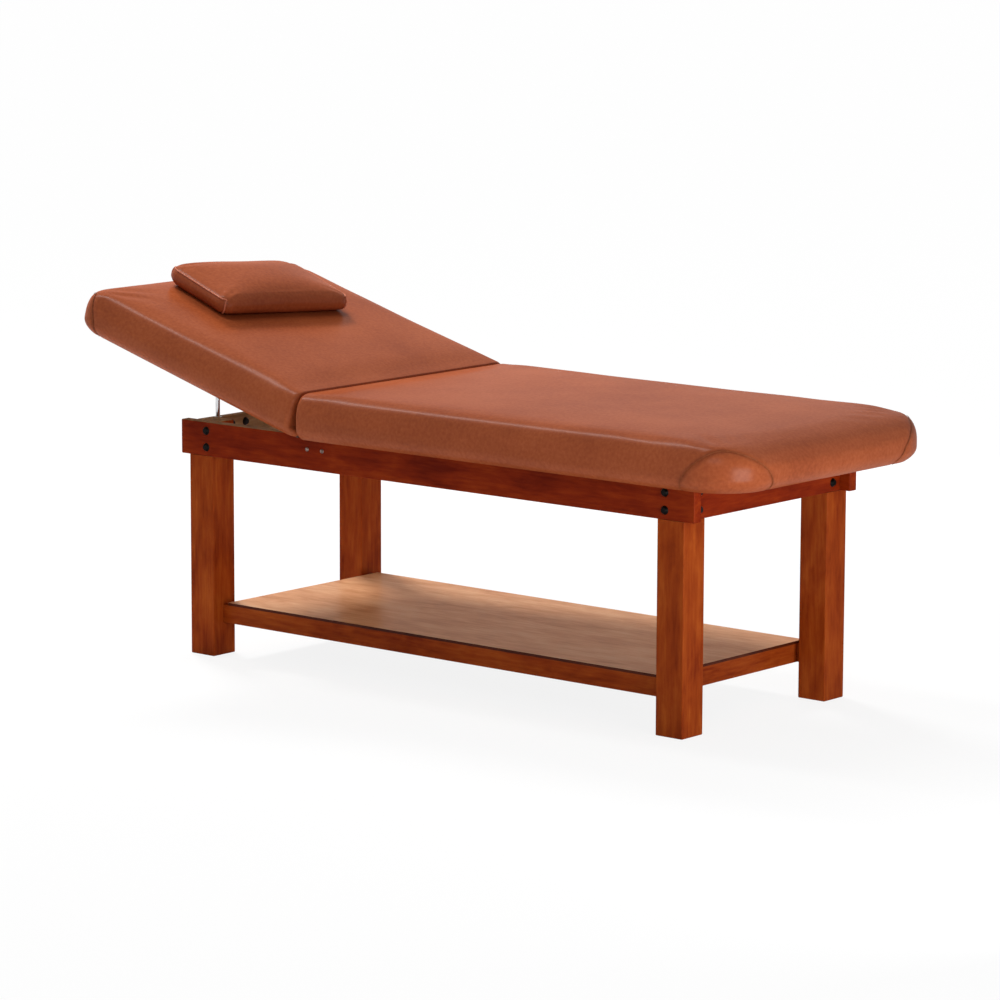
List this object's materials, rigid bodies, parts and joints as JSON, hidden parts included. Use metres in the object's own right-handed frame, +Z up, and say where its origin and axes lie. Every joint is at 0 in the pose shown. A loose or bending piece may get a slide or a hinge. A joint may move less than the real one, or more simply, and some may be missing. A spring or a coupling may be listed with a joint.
{
  "type": "massage bed",
  "caption": "Padded massage bed on a timber frame with a storage shelf, a tilting head section on sliding prop rods and a loose pillow.",
  "frame": {"origin": "on the floor, under the middle of the whole bed's box with the head section raised", "axes": "+X towards the foot, +Y across to the far side, +Z up"},
  "size_m": [1.8613, 0.732, 0.8545],
  "materials": {
    "stained_timber": "satin",
    "shelf_veneer": "satin",
    "plain_timber": "matte",
    "plywood": "matte",
    "brown_leatherette": "satin",
    "chrome_rod": "polished",
    "black_bolt": "satin",
    "zinc_steel": "satin",
    "brass_insert": "satin",
    "black_plastic": "matte",
    "white_nylon": "satin"
  },
  "bodies": {
    "frame": {"leg_head_near": "stained_timber", "leg_head_far": "stained_timber", "leg_foot_near": "stained_timber", "leg_foot_far": "stained_timber", "side_rail_near": "stained_timber", "side_rail_far": "stained_timber", "end_rail_head": "stained_timber", "end_rail_foot": "stained_timber", "hinge_cross_rail": "plain_timber", "main_cross_rail": "plain_timber", "shelf_rail_near": "stained_timber", "shelf_rail_far": "stained_timber", "shelf_end_rail_head": "stained_timber", "shelf_end_rail_foot": "stained_timber", "shelf_bearer": "plain_timber", "shelf_panel": "shelf_veneer", "shelf_dowels": "plain_timber", "frame_bolts": "black_bolt", "head_rail_screws": "black_bolt", "leg_inserts": "brass_insert", "cross_rail_screws": "zinc_steel", "board_screws": "zinc_steel", "main_board": "plywood", "main_pad": "brown_leatherette", "hinge_leaves_frame": "zinc_steel", "hinge_pins": "zinc_steel", "hinge_screws_frame": "zinc_steel", "rod_bushes": "zinc_steel"},
    "head_section": {"head_board": "plywood", "head_pad": "brown_leatherette", "hinge_leaves_head": "zinc_steel", "hinge_screws_head": "zinc_steel", "wear_plates": "white_nylon"},
    "prop_rod_near": {"prop_rod_near": "chrome_rod"},
    "prop_rod_far": {"prop_rod_far": "chrome_rod"},
    "lock_knob_near": {"lock_knob_near": "black_plastic", "knob_stud_near": "zinc_steel"},
    "lock_knob_far": {"lock_knob_far": "black_plastic", "knob_stud_far": "zinc_steel"},
    "pillow": {"pillow": "brown_leatherette"}
  },
  "joints": [
    {"name": "head_tilt", "type": "hinge", "parent": "frame", "child": "head_section", "pos_m": [-0.2714, 0, 0.5255], "axis": [0, 1, 0], "range_deg": [-16.1, 0]},
    {"name": "prop_rod_near_slide", "type": "slide", "parent": "frame", "child": "prop_rod_near", "axis": [0, 0, 1], "range_m": [-0.112, 0]},
    {"name": "lock_knob_near_turn", "type": "hinge", "parent": "frame", "child": "lock_knob_near", "pos_m": [-0.6484, -0.205, 0.4915], "axis": [-1, 0, 0], "range_deg": [0, 360]},
    {"name": "prop_rod_far_slide", "type": "slide", "parent": "frame", "child": "prop_rod_far", "axis": [0, 0, 1], "range_m": [-0.112, 0]},
    {"name": "lock_knob_far_turn", "type": "hinge", "parent": "frame", "child": "lock_knob_far", "pos_m": [-0.6484, 0.205, 0.4915], "axis": [-1, 0, 0], "range_deg": [0, 360]},
    {"name": "pillow_lift", "type": "slide", "parent": "head_section", "child": "pillow", "axis": [0.279, 0, 0.9603], "range_m": [0, 0.2]}
  ],
  "couplings": [
    {"joint": "prop_rod_near_slide", "follows": "head_tilt", "m_per_rad": 0.39557},
    {"joint": "prop_rod_far_slide", "follows": "head_tilt", "m_per_rad": 0.39557}
  ]
}
